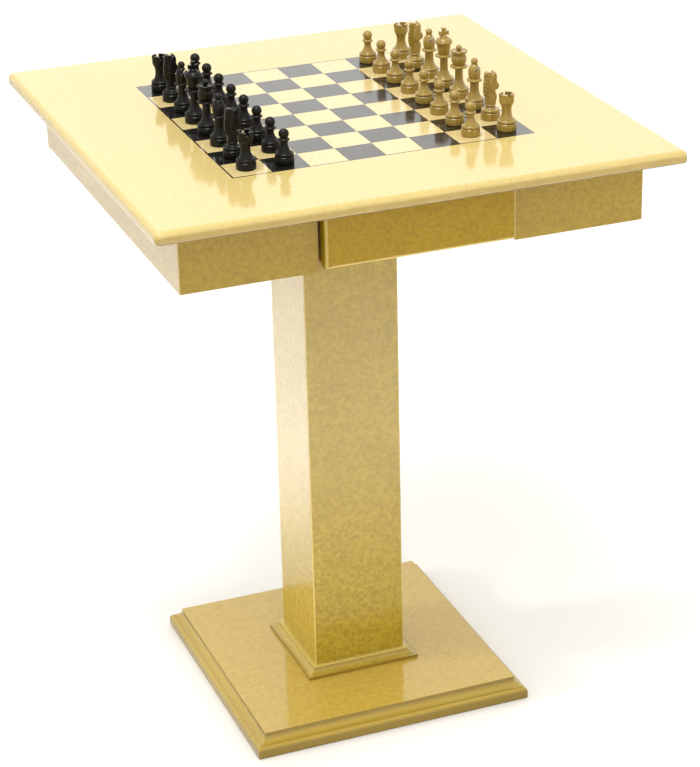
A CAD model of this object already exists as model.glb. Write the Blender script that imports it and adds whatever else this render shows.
"""Looks of the chess table: lacquer on its boards, the inlaid field, the turned men, and a plain studio.

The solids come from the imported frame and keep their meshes. Each operator below gives one group of like
pieces the finish of the real one, and the last one sets up the floor, the lights and the camera.
"""

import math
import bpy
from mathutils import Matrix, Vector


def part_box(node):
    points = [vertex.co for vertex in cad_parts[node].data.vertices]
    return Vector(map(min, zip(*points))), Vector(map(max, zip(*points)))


bl_info = {
    "name": "Chess table finishes",
    "version": (1, 0, 0),
    "blender": (4, 5, 0),
    "location": "3D View > Sidebar > Chess table",
    "description": "Lacquer, inlay, turned men and a plain studio for a chess table",
    "category": "Material",
}

import bpy
from bpy.props import FloatProperty, FloatVectorProperty, PointerProperty
from bpy.types import Operator, Panel, PropertyGroup
from mathutils import Vector

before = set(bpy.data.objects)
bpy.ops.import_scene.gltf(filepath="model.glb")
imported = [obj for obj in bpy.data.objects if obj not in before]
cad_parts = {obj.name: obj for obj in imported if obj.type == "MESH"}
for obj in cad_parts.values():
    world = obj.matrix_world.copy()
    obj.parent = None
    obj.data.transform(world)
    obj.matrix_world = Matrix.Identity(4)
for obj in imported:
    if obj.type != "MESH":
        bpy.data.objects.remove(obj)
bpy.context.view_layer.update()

# Sockets of a Mix node that is set to colours
MIX_FACTOR = 0
MIX_A = 6
MIX_B = 7
MIX_RESULT = 2

# One millimetre in metres
MM = 0.001

# Refractive index of clear lacquer and of wood
LACQUER_IOR = 1.5

# Heights where a tone changes: just under the base's upper face, and where the moulding's lip begins
BASE_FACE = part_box("base_board")[1][2] - 0.5 * MM
MOULDING_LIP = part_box("foot_moulding")[1][2] - 2.4 * MM

# Upward part of a face's normal where an edge's own colour starts, and where it is full
ROUNDED_EDGE = (0.4, -0.1)
SHAPED_EDGE = (0.8, 0.2)
UNDERSIDE = (-0.2, -0.6)

# Largest part of the normal where a corner's pale tone starts, and where it is full
CORNER = (0.995, 0.92)

# A face with a larger upward part than this has no pale corner
CORNER_UPWARD = 0.05

# Share of an edge's own colour where it is full
EDGE_SHARE = 0.8

# Scale at which the bands of a Wave texture lie about one metre apart
WAVE_SCALE = 0.314

# How much the softwood's bands are drawn out along the rails
RAIL_GRAIN = 0.06

# Nodes of the frame, by the finish that they share
APRON_BOARDS = (
    "apron_front_left", "apron_front_right", "apron_side_left", "apron_side_right", "apron_back",
)
COLUMN_BOARDS = ("column_front", "column_back", "column_left", "column_right")
BASE_BOARDS = ("base_board", "base_plinth")
DRAWER_BOARDS = ("drawer_side_left", "drawer_side_right", "drawer_back")
RAILS = (
    "drawer_runner_left", "drawer_runner_right", "column_cleats", "apron_corner_blocks", "column_foot_block",
)
SCREWS = ("cleat_screws", "base_screws")

# Panels of light, by the setting that holds their power: place, point faced, width, height and spread.
# The pools brighten the floor that the lacquer mirrors, and the low ones the foot of the column.
PANELS = {
    "overhead": ((-0.4, -0.5, 2.8), (0, 0, 0.75), 1.0, 1.0, math.pi),
    "back": ((1.16, 3.06, 2.24), (0, 0, 0.75), 3.0, 2.4, math.pi),
    "pool_front": ((0.35, -0.93, 2.2), (0.35, -0.93, 0), 1.2, 0.86, 0.3),
    "pool_behind": ((-0.45, 0.85, 2.2), (-0.45, 0.85, 0), 0.7, 0.85, 0.25),
    "pool_far": ((-0.75, 1.8, 2.2), (-0.75, 1.8, 0), 0.9, 1.0, 0.35),
    "pool_left": ((-0.85, 0, 2.2), (-0.85, 0, 0), 0.7, 1.0, 0.35),
    "low_left": ((-1.7, 0.25, 0.55), (-0.06, 0, 0.1), 0.3, 0.3, 0.3),
    "low_front": ((-0.25, -1.7, 0.5), (0, -0.06, 0.1), 0.3, 0.3, 0.3),
}


def linear(hex_colour):
    """Linear colour values from an sRGB hex text such as "C9A84C"."""
    values = []
    for start in (0, 2, 4):
        share = int(hex_colour[start:start + 2], 16) / 255
        values.append(share / 12.92 if share <= 0.04045 else ((share + 0.055) / 1.055) ** 2.4)
    return tuple(values)


def colour_property(name, description, hex_colour):
    """A colour that a user may change, with its default as sRGB hex."""
    return FloatVectorProperty(
        name=name, description=description, subtype="COLOR", size=3, min=0, max=1, default=linear(hex_colour)
    )


def length_property(name, description, millimetres):
    """A length that a user may change, with its default in millimetres."""
    return FloatProperty(
        name=name, description=description, unit="LENGTH", subtype="DISTANCE", min=0, precision=5,
        default=millimetres * MM,
    )


def share_property(name, description, default):
    """A share from 0 to 1 that a user may change."""
    return FloatProperty(name=name, description=description, subtype="FACTOR", min=0, max=1, default=default)


def power_property(name, description, watts):
    """The power of a light that a user may change, with its default in watts."""
    return FloatProperty(name=name, description=description, unit="POWER", min=0, default=watts)


class ChessTableLacquer(PropertyGroup):
    """Fibreboard under clear gloss lacquer, as on all outer boards."""

    board: colour_property("Board", "Colour of the apron's boards", "9F831E")
    board_deep: colour_property("Board, deep", "Darker patches of the apron's boards", "886E16")
    drawer: colour_property("Drawer front", "Colour of the drawer's front", "9B7D0C")
    drawer_deep: colour_property("Drawer front, deep", "Darker patches of the drawer's front", "886C08")
    drawer_coat: share_property("Drawer coat", "Thickness of the lacquer on the drawer's front", 0.5)
    column: colour_property("Column", "Colour of the column's boards", "A58D27")
    column_deep: colour_property("Column, deep", "Darker patches of the column's boards", "8A7216")
    column_gloss: share_property("Column roughness", "Roughness of the column's lacquer", 0.2)
    arris: colour_property("Arris", "Colour of the upright boards' rounded edges", "B7A058")
    top: colour_property("Top", "Colour of the table top", "CCB77A")
    top_deep: colour_property("Top, deep", "Darker patches of the table top", "C6B06A")
    top_edge: colour_property("Top edge", "Colour of the top's rounded edge", "8F7634")
    base: colour_property("Base", "Colour of the base's upper face", "CCAE4E")
    base_deep: colour_property("Base, deep", "Darker patches of the base's upper face", "BE9F42")
    base_lower: colour_property("Base, lower", "Colour of the base below its upper face", "AC9238")
    base_edge: colour_property("Base edge", "Colour of the base's upright edges", "745D10")
    moulding: colour_property("Moulding", "Colour of the moulding round the column's foot", "B89E3E")
    moulding_deep: colour_property("Moulding, deep", "Darker patches of the moulding", "A68C32")
    moulding_edge: colour_property("Moulding edge", "Colour of the moulding's upright faces", "7A5E0E")
    moulding_lip: colour_property("Moulding lip", "Colour of the moulding's upper lip", "D2BC62")
    raw: colour_property("Raw underside", "Colour of undersides that are left raw", "5E4A20")
    fibre: colour_property("Fibre", "Colour of the dark fibres in the board", "7C6318")
    mottle: length_property("Mottle", "Width of the patches in the board", 4.8)
    speck: length_property("Speck", "Width of the specks that the fibres make", 1.8)
    drift: length_property("Drift", "Width of slow changes of tone across a board", 140)
    peel: length_property("Peel", "Width of the ripples in the sprayed lacquer", 12)
    gloss: share_property("Gloss roughness", "Roughness of the lacquer", 0.1)
    under_gloss: share_property("Under-gloss", "How far the board mirrors under its lacquer", 0.08)


class ChessTableInlay(PropertyGroup):
    """The squares and the line let into the top."""

    light: colour_property("Light squares", "Colour of the light squares", "D2BF8A")
    light_deep: colour_property("Light squares, deep", "Darker patches of the light squares", "CAB478")
    dark: colour_property("Dark squares", "Colour of the dark squares", "0D0B0A")
    dark_pore: colour_property("Dark squares, pores", "Colour of the pores in the dark veneer", "1D1814")
    line: colour_property("Line", "Colour of the line round the field", "1C120A")
    pore: length_property("Pore", "Width of the veneer's pores", 0.8)
    pore_length: length_property("Pore length", "Length of the veneer's pores", 14)


class ChessTableMen(PropertyGroup):
    """The turned men."""

    light: colour_property("Light men", "Colour of the light men", "9F8438")
    light_streak: colour_property("Light men, streaks", "Darker streaks in the light men", "836724")
    light_groove: colour_property("Light men, grooves", "Stain in the light men's grooves", "3E2C08")
    light_gloss: share_property("Light gloss roughness", "Roughness of the light men's lacquer", 0.17)
    light_coat: share_property("Light coat", "Thickness of the light men's lacquer", 1.0)
    black: colour_property("Black men", "Colour of the black men", "060606")
    black_streak: colour_property("Black men, streaks", "Streaks of grain in the black men", "14110C")
    black_groove: colour_property("Black men, grooves", "Stain in the black men's grooves", "020202")
    black_gloss: share_property("Black gloss roughness", "Roughness of the black men's lacquer", 0.08)
    black_coat: share_property("Black coat", "Thickness of the black men's lacquer", 0.28)
    groove: length_property("Groove", "Width of the grooves that hold more stain", 5)
    streak: length_property("Streak", "Width of a streak of the grain", 1.1)
    streak_length: length_property("Streak length", "Length of a streak of the grain", 22)


class ChessTableInside(PropertyGroup):
    """Drawer box, rails and screws, which show when the drawer is out or from below."""

    drawer: colour_property("Drawer board", "Colour of the drawer's sides and back", "B89A62")
    drawer_deep: colour_property("Drawer board, deep", "Darker patches of the drawer's sides", "A98850")
    sealer: share_property("Sealer", "Thickness of the sealer on the drawer's sides and back", 0.15)
    hardboard: colour_property("Hardboard", "Colour of the drawer's bottom", "7A5838")
    hardboard_deep: colour_property("Hardboard, deep", "Darker patches of the drawer's bottom", "684829")
    early_wood: colour_property("Early wood", "Pale bands of the softwood rails", "9C7840")
    late_wood: colour_property("Late wood", "Dark bands of the softwood rails", "7A5A2C")
    ring: length_property("Year ring", "Width of a year ring in the softwood", 3.5)
    zinc: colour_property("Zinc", "Colour of the plated screws", "BDB7A4")
    bloom: length_property("Bloom", "Width of the dull patches in the plating", 2)


class ChessTableStudio(PropertyGroup):
    """Floor, light and camera."""

    floor: colour_property("Floor", "Colour of the floor", "FBFAF8")
    floor_width: length_property("Floor width", "Width of the floor", 16000)
    floor_gap: length_property("Floor gap", "Gap between the floor and the base", 0.4)
    room_tint: colour_property("Room tint", "Colour of the light from all round", "FFFDF7")
    room: FloatProperty(
        name="Room light", description="Strength of the light from all round", min=0, default=1.1
    )
    overhead: power_property("Overhead", "Power of the light above the table", 34)
    back: power_property("Back", "Power of the panel that the top mirrors", 10)
    pool_front: power_property("Front pool", "Power of the light straight down in front", 7.7)
    pool_behind: power_property("Pool behind", "Power of the light straight down behind", 3.4)
    pool_far: power_property("Far pool", "Power of the light straight down far behind", 1.0)
    pool_left: power_property("Left pool", "Power of the light straight down on the left", 6.7)
    low_left: power_property("Low left", "Power of the light near the floor on the left", 0.25)
    low_front: power_property("Low front", "Power of the light near the floor in front", 0.1)
    lens: FloatProperty(name="Lens", description="Focal length of the camera", unit="CAMERA", default=114.75)
    camera_place: FloatVectorProperty(
        name="Camera", description="Where the camera stands", subtype="TRANSLATION", unit="LENGTH",
        default=(-0.9617, -2.5817, 1.6439),
    )
    camera_turn: FloatVectorProperty(
        name="Camera turn", description="How the camera is turned", subtype="EULER", unit="ROTATION",
        default=(1.14503, 0.02227, -0.37289),
    )


def add_node(tree, kind, inputs=None, **settings):
    """Adds a node with its settings; each input is given a value, or the socket that feeds it."""
    node = tree.nodes.new(kind)
    for name, value in settings.items():
        setattr(node, name, value)
    for socket, value in (inputs or {}).items():
        if isinstance(value, bpy.types.NodeSocket):
            tree.links.new(value, node.inputs[socket])
        else:
            node.inputs[socket].default_value = value
    return node


def opaque(colour):
    """A colour property's values with full alpha."""
    return (*colour, 1)


def new_finish(name):
    """An empty node material: the material and its tree."""
    material = bpy.data.materials.new(name)
    material.use_nodes = True
    material.node_tree.nodes.clear()
    return material, material.node_tree


def close_finish(tree, shader):
    """Ends a material's tree with its shader."""
    add_node(tree, "ShaderNodeOutputMaterial", {"Surface": shader.outputs["BSDF"]})


def give(material, nodes):
    """Puts one material on all of the named nodes."""
    for name in nodes:
        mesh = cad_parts[name].data
        mesh.materials.clear()
        mesh.materials.append(material)


def fibreboard(
    name, lacquer, pale, deep, coat=1.0, gloss=None,
    arris=None, edge=None, edge_turn=ROUNDED_EDGE, lower=None, lip=None,
):
    """Medium density fibreboard, sanded and sprayed with clear lacquer.

    Pressed wood fibre has no grain: it shows soft patches a few millimetres wide and fine dark specks. The
    lacquer mirrors like glass, with a slight ripple from the spray gun. It is thin and pale along a corner,
    so an arris colour goes on all that is rounded and doesn't face up. A cut edge drinks the lacquer, so an
    edge colour goes on faces that turn away from the upper face, and the underside below is raw. The lower
    colour goes on all that lies below the base's upper face, and the lip colour on the moulding's lip.
    """
    material, tree = new_finish(name)
    place = add_node(tree, "ShaderNodeTexCoord")
    at = place.outputs["Object"]
    patches = add_node(
        tree, "ShaderNodeTexNoise", {"Vector": at, "Scale": 1 / lacquer.mottle, "Detail": 2.0}
    )
    # Real fibres are a tenth of a millimetre wide; they are drawn coarser here so that they show
    specks = add_node(
        tree, "ShaderNodeTexNoise",
        {"Vector": at, "Scale": 1 / lacquer.speck, "Detail": 4.0, "Roughness": 0.7},
    )
    drift = add_node(
        tree, "ShaderNodeTexNoise", {"Vector": at, "Scale": 1 / lacquer.drift, "Detail": 1.0}
    )
    spot = add_node(tree, "ShaderNodeSeparateXYZ", {"Vector": at})
    facing = add_node(tree, "ShaderNodeSeparateXYZ", {"Vector": place.outputs["Normal"]})

    # Each tint: its colour, the value that brings it in, where it starts and is full, and its share there
    tints = [
        (pale, patches.outputs["Fac"], 0.3, 0.7, 1.0),
        (lacquer.fibre, specks.outputs["Fac"], 0.5, 0.8, 0.4),
        (deep, drift.outputs["Fac"], 0.4, 0.7, 0.2),
    ]
    if lower is not None:
        tints.append((lower, spot.outputs["Z"], BASE_FACE, BASE_FACE - 1.0 * MM, EDGE_SHARE))
    if arris is not None:
        upward = add_node(
            tree, "ShaderNodeMath", {0: facing.outputs["Z"], 1: CORNER_UPWARD}, operation="GREATER_THAN"
        )
        flatness = upward.outputs["Value"]
        for side in ("X", "Y", "Z"):
            part = add_node(tree, "ShaderNodeMath", {0: facing.outputs[side]}, operation="ABSOLUTE")
            largest = add_node(
                tree, "ShaderNodeMath", {0: part.outputs["Value"], 1: flatness}, operation="MAXIMUM"
            )
            flatness = largest.outputs["Value"]
        tints.append((arris, flatness, *CORNER, EDGE_SHARE))
    if edge is not None:
        tints.append((edge, facing.outputs["Z"], *edge_turn, EDGE_SHARE))
        tints.append((lacquer.raw, facing.outputs["Z"], *UNDERSIDE, 1.0))
    if lip is not None:
        tints.append((lip, spot.outputs["Z"], MOULDING_LIP, MOULDING_LIP + 0.5 * MM, EDGE_SHARE))

    colour = opaque(deep)
    for tone, value, start, full, most in tints:
        share = add_node(
            tree, "ShaderNodeMapRange", {"Value": value, "From Min": start, "From Max": full, "To Max": most}
        )
        tinted = add_node(
            tree, "ShaderNodeMix",
            {MIX_FACTOR: share.outputs["Result"], MIX_A: colour, MIX_B: opaque(tone)}, data_type="RGBA",
        )
        colour = tinted.outputs[MIX_RESULT]

    peel = add_node(
        tree, "ShaderNodeTexNoise", {"Vector": at, "Scale": 1 / lacquer.peel, "Detail": 1.0}
    )
    ripple = add_node(
        tree, "ShaderNodeBump", {"Height": peel.outputs["Fac"], "Strength": 0.05, "Distance": 1.0 * MM}
    )
    shader = add_node(
        tree, "ShaderNodeBsdfPrincipled",
        {
            "Base Color": colour, "Roughness": 0.5, "IOR": LACQUER_IOR,
            "Specular IOR Level": lacquer.under_gloss, "Coat Weight": coat,
            "Coat Roughness": lacquer.gloss if gloss is None else gloss, "Coat IOR": LACQUER_IOR,
            "Coat Normal": ripple.outputs["Normal"],
        },
    )
    close_finish(tree, shader)
    return material


def veneer(name, lacquer, body, pore, width, length):
    """Stained veneer under the same clear lacquer: near one tone, with long thin pores along the grain."""
    material, tree = new_finish(name)
    place = add_node(tree, "ShaderNodeTexCoord")
    along = add_node(
        tree, "ShaderNodeMapping",
        {"Vector": place.outputs["Object"], "Scale": (1 / width, 1 / length, 1 / width)},
    )
    pores = add_node(
        tree, "ShaderNodeTexNoise", {"Vector": along.outputs["Vector"], "Scale": 1.0, "Detail": 3.0}
    )
    pore_share = add_node(
        tree, "ShaderNodeMapRange", {"Value": pores.outputs["Fac"], "From Min": 0.5, "From Max": 0.7}
    )
    colour = add_node(
        tree, "ShaderNodeMix",
        {MIX_FACTOR: pore_share.outputs["Result"], MIX_A: opaque(body), MIX_B: opaque(pore)},
        data_type="RGBA",
    )
    shader = add_node(
        tree, "ShaderNodeBsdfPrincipled",
        {
            "Base Color": colour.outputs[MIX_RESULT], "Roughness": 0.4, "IOR": LACQUER_IOR,
            "Specular IOR Level": lacquer.under_gloss, "Coat Weight": 1.0, "Coat Roughness": lacquer.gloss,
            "Coat IOR": LACQUER_IOR,
        },
    )
    close_finish(tree, shader)
    return material


def turned_wood(name, men, body, streak, groove, gloss, coat):
    """Close-grained wood turned on a lathe, stained and lacquered.

    Upright streaks of grain show under a soft gloss, and the stain gathers in the grooves, which are darker.
    """
    material, tree = new_finish(name)
    place = add_node(tree, "ShaderNodeTexCoord")
    along = add_node(
        tree, "ShaderNodeMapping",
        {
            "Vector": place.outputs["Object"],
            "Scale": (1 / men.streak, 1 / men.streak, 1 / men.streak_length),
        },
    )
    grain = add_node(
        tree, "ShaderNodeTexNoise",
        {"Vector": along.outputs["Vector"], "Scale": 1.0, "Detail": 4.0, "Distortion": 0.4},
    )
    grain_share = add_node(
        tree, "ShaderNodeMapRange", {"Value": grain.outputs["Fac"], "From Min": 0.4, "From Max": 0.68}
    )
    grained = add_node(
        tree, "ShaderNodeMix",
        {MIX_FACTOR: grain_share.outputs["Result"], MIX_A: opaque(body), MIX_B: opaque(streak)},
        data_type="RGBA",
    )
    # How open the surface is: near 1 on an open face and less in a groove of the same man
    openness = add_node(
        tree, "ShaderNodeAmbientOcclusion", {"Distance": men.groove}, samples=8, only_local=True
    )
    open_share = add_node(
        tree, "ShaderNodeMapRange",
        {"Value": openness.outputs["AO"], "From Min": 0.3, "From Max": 0.9, "To Min": 0.45},
    )
    stained = add_node(
        tree, "ShaderNodeMix",
        {MIX_FACTOR: open_share.outputs["Result"], MIX_A: opaque(groove), MIX_B: grained.outputs[MIX_RESULT]},
        data_type="RGBA",
    )
    relief = add_node(
        tree, "ShaderNodeBump", {"Height": grain.outputs["Fac"], "Strength": 0.1, "Distance": 0.1 * MM}
    )
    shader = add_node(
        tree, "ShaderNodeBsdfPrincipled",
        {
            "Base Color": stained.outputs[MIX_RESULT], "Roughness": 0.45, "IOR": LACQUER_IOR,
            "Specular IOR Level": 0.1, "Normal": relief.outputs["Normal"], "Coat Weight": coat,
            "Coat Roughness": gloss, "Coat IOR": LACQUER_IOR,
        },
    )
    close_finish(tree, shader)
    return material


def softwood(name, inside):
    """Planed pine: pale early wood and darker late wood in bands a few millimetres apart, with no gloss."""
    material, tree = new_finish(name)
    place = add_node(tree, "ShaderNodeTexCoord")
    along = add_node(
        tree, "ShaderNodeMapping", {"Vector": place.outputs["Object"], "Scale": (1.0, RAIL_GRAIN, 1.0)}
    )
    rings = add_node(
        tree, "ShaderNodeTexWave",
        {
            "Vector": along.outputs["Vector"], "Scale": WAVE_SCALE / inside.ring, "Distortion": 3.0,
            "Detail": 2.0,
        },
        bands_direction="DIAGONAL",
    )
    colour = add_node(
        tree, "ShaderNodeMix",
        {
            MIX_FACTOR: rings.outputs["Fac"], MIX_A: opaque(inside.early_wood),
            MIX_B: opaque(inside.late_wood),
        },
        data_type="RGBA",
    )
    relief = add_node(
        tree, "ShaderNodeBump", {"Height": rings.outputs["Fac"], "Strength": 0.15, "Distance": 0.2 * MM}
    )
    shader = add_node(
        tree, "ShaderNodeBsdfPrincipled",
        {
            "Base Color": colour.outputs[MIX_RESULT], "Roughness": 0.65, "IOR": LACQUER_IOR,
            "Normal": relief.outputs["Normal"],
        },
    )
    close_finish(tree, shader)
    return material


def zinc_plate(name, inside):
    """Zinc-plated steel: a warm grey metal, dulled unevenly by the plating bath."""
    material, tree = new_finish(name)
    place = add_node(tree, "ShaderNodeTexCoord")
    bloom = add_node(
        tree, "ShaderNodeTexNoise",
        {"Vector": place.outputs["Object"], "Scale": 1 / inside.bloom, "Detail": 3.0},
    )
    dullness = add_node(
        tree, "ShaderNodeMapRange", {"Value": bloom.outputs["Fac"], "To Min": 0.25, "To Max": 0.5}
    )
    shader = add_node(
        tree, "ShaderNodeBsdfPrincipled",
        {"Base Color": opaque(inside.zinc), "Metallic": 1.0, "Roughness": dullness.outputs["Result"]},
    )
    close_finish(tree, shader)
    return material


class CHESSTABLE_OT_lacquer_boards(Operator):
    """Give the top, the apron, the column and the base their lacquer"""

    bl_idname = "chess_table.lacquer_boards"
    bl_label = "Lacquer the boards"

    def execute(self, context):
        lacquer = context.scene.chess_table_lacquer
        apron = fibreboard(
            "lacquered_fibreboard_apron", lacquer, lacquer.board, lacquer.board_deep, arris=lacquer.arris
        )
        give(apron, APRON_BOARDS)
        drawer = fibreboard(
            "lacquered_fibreboard_drawer", lacquer, lacquer.drawer, lacquer.drawer_deep,
            coat=lacquer.drawer_coat, arris=lacquer.arris,
        )
        give(drawer, ("drawer_front",))
        column = fibreboard(
            "lacquered_fibreboard_column", lacquer, lacquer.column, lacquer.column_deep,
            gloss=lacquer.column_gloss, arris=lacquer.arris,
        )
        give(column, COLUMN_BOARDS)
        top = fibreboard(
            "lacquered_fibreboard_top", lacquer, lacquer.top, lacquer.top_deep, edge=lacquer.top_edge
        )
        give(top, ("table_top",))
        base = fibreboard(
            "lacquered_fibreboard_base", lacquer, lacquer.base, lacquer.base_deep,
            edge=lacquer.base_edge, edge_turn=SHAPED_EDGE, lower=lacquer.base_lower,
        )
        give(base, BASE_BOARDS)
        moulding = fibreboard(
            "lacquered_fibreboard_moulding", lacquer, lacquer.moulding, lacquer.moulding_deep,
            edge=lacquer.moulding_edge, edge_turn=SHAPED_EDGE, lip=lacquer.moulding_lip,
        )
        give(moulding, ("foot_moulding",))
        return {"FINISHED"}


class CHESSTABLE_OT_inlay_field(Operator):
    """Give the squares and the line round them their veneers"""

    bl_idname = "chess_table.inlay_field"
    bl_label = "Inlay the field"

    def execute(self, context):
        lacquer = context.scene.chess_table_lacquer
        inlay = context.scene.chess_table_inlay
        # The light squares mottle softly, as the top round them does
        light = fibreboard("pale_lacquered_inlay", lacquer, inlay.light, inlay.light_deep)
        give(light, ("light_squares",))
        dark = veneer("dark_veneer", lacquer, inlay.dark, inlay.dark_pore, inlay.pore, inlay.pore_length)
        give(dark, ("dark_squares",))
        line = veneer("line_veneer", lacquer, inlay.line, inlay.dark, inlay.pore, inlay.pore_length)
        give(line, ("board_stringing",))
        return {"FINISHED"}


class CHESSTABLE_OT_finish_inside(Operator):
    """Give the drawer's box, the rails and the screws their plain finishes"""

    bl_idname = "chess_table.finish_inside"
    bl_label = "Finish the inside"

    def execute(self, context):
        lacquer = context.scene.chess_table_lacquer
        inside = context.scene.chess_table_inside
        # The drawer's sides and back have one thin coat, which hardly mirrors
        sealed = fibreboard(
            "sealed_fibreboard", lacquer, inside.drawer, inside.drawer_deep, coat=inside.sealer
        )
        give(sealed, DRAWER_BOARDS)
        # Hardboard is pressed from darker fibre, and it has no coat at all
        bottom = fibreboard("hardboard", lacquer, inside.hardboard, inside.hardboard_deep, coat=0.0)
        give(bottom, ("drawer_bottom",))
        give(softwood("planed_pine", inside), RAILS)
        give(zinc_plate("zinc_plate", inside), SCREWS)
        return {"FINISHED"}


class CHESSTABLE_OT_finish_men(Operator):
    """Give the black and the light men their stain and lacquer"""

    bl_idname = "chess_table.finish_men"
    bl_label = "Finish the men"

    def execute(self, context):
        men = context.scene.chess_table_men
        black = turned_wood(
            "black_turned_wood", men, men.black, men.black_streak, men.black_groove, men.black_gloss,
            men.black_coat,
        )
        give(black, [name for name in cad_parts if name.startswith("black_")])
        light = turned_wood(
            "light_turned_wood", men, men.light, men.light_streak, men.light_groove, men.light_gloss,
            men.light_coat,
        )
        inlaid = ("light_squares",)
        give(light, [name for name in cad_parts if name.startswith("light_") and name not in inlaid])
        return {"FINISHED"}


def area_light(name, place, aim, width, height, spread, power):
    """A soft panel of light that faces a point."""
    turn = (Vector(aim) - Vector(place)).to_track_quat("-Z", "Y").to_euler()
    bpy.ops.object.light_add(type="AREA", location=place, rotation=turn)
    light = bpy.context.object
    light.name = name
    light.data.shape = "RECTANGLE"
    light.data.size = width
    light.data.size_y = height
    light.data.spread = spread
    light.data.energy = power


class CHESSTABLE_OT_set_stage(Operator):
    """Set up the floor, the lights and the camera"""

    bl_idname = "chess_table.set_stage"
    bl_label = "Set the stage"

    def execute(self, context):
        studio = context.scene.chess_table_studio
        bpy.ops.object.select_all(action="DESELECT")
        # The floor lies a hair below the base, so that the two faces don't fall together
        bpy.ops.mesh.primitive_plane_add(size=studio.floor_width, location=(0, 0, -studio.floor_gap))
        floor = context.object
        floor.name = "floor"
        material, tree = new_finish("pale_floor")
        shader = add_node(
            tree, "ShaderNodeBsdfPrincipled", {"Base Color": opaque(studio.floor), "Roughness": 0.7}
        )
        close_finish(tree, shader)
        floor.data.materials.append(material)

        world = bpy.data.worlds.new("plain_room")
        world.use_nodes = True
        background = world.node_tree.nodes["Background"]
        background.inputs["Strength"].default_value = studio.room
        background.inputs["Color"].default_value = opaque(studio.room_tint)
        context.scene.world = world

        for name, (place, aim, width, height, spread) in PANELS.items():
            area_light(name, place, aim, width, height, spread, getattr(studio, name))

        bpy.ops.object.camera_add(location=studio.camera_place, rotation=studio.camera_turn)
        camera = context.object
        camera.name = "camera"
        camera.data.lens = studio.lens
        context.scene.camera = camera
        context.scene.view_settings.view_transform = "Standard"
        return {"FINISHED"}


class CHESSTABLE_PT_panel(Panel):
    """Lists the settings and the steps in the 3D view's sidebar"""

    bl_label = "Chess table"
    bl_space_type = "VIEW_3D"
    bl_region_type = "UI"
    bl_category = "Chess table"

    def draw(self, context):
        for operator in OPERATORS:
            self.layout.operator(operator.bl_idname)
        for name in GROUPS:
            group = getattr(context.scene, name)
            box = self.layout.box()
            for setting in group.__annotations__:
                box.prop(group, setting)


GROUPS = {
    "chess_table_lacquer": ChessTableLacquer,
    "chess_table_inlay": ChessTableInlay,
    "chess_table_men": ChessTableMen,
    "chess_table_inside": ChessTableInside,
    "chess_table_studio": ChessTableStudio,
}
OPERATORS = (
    CHESSTABLE_OT_lacquer_boards,
    CHESSTABLE_OT_inlay_field,
    CHESSTABLE_OT_finish_inside,
    CHESSTABLE_OT_finish_men,
    CHESSTABLE_OT_set_stage,
)


def register():
    """Registers the settings, the steps and the panel."""
    for group in GROUPS.values():
        bpy.utils.register_class(group)
    for operator in OPERATORS:
        bpy.utils.register_class(operator)
    bpy.utils.register_class(CHESSTABLE_PT_panel)
    for name, group in GROUPS.items():
        setattr(bpy.types.Scene, name, PointerProperty(type=group))


def unregister():
    """Takes the settings, the steps and the panel out again."""
    for name in GROUPS:
        delattr(bpy.types.Scene, name)
    bpy.utils.unregister_class(CHESSTABLE_PT_panel)
    for operator in reversed(OPERATORS):
        bpy.utils.unregister_class(operator)
    for group in reversed(GROUPS.values()):
        bpy.utils.unregister_class(group)


def main():
    """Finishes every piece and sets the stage."""
    register()
    bpy.ops.chess_table.lacquer_boards()
    bpy.ops.chess_table.inlay_field()
    bpy.ops.chess_table.finish_inside()
    bpy.ops.chess_table.finish_men()
    bpy.ops.chess_table.set_stage()


if __name__ == "__main__":
    main()
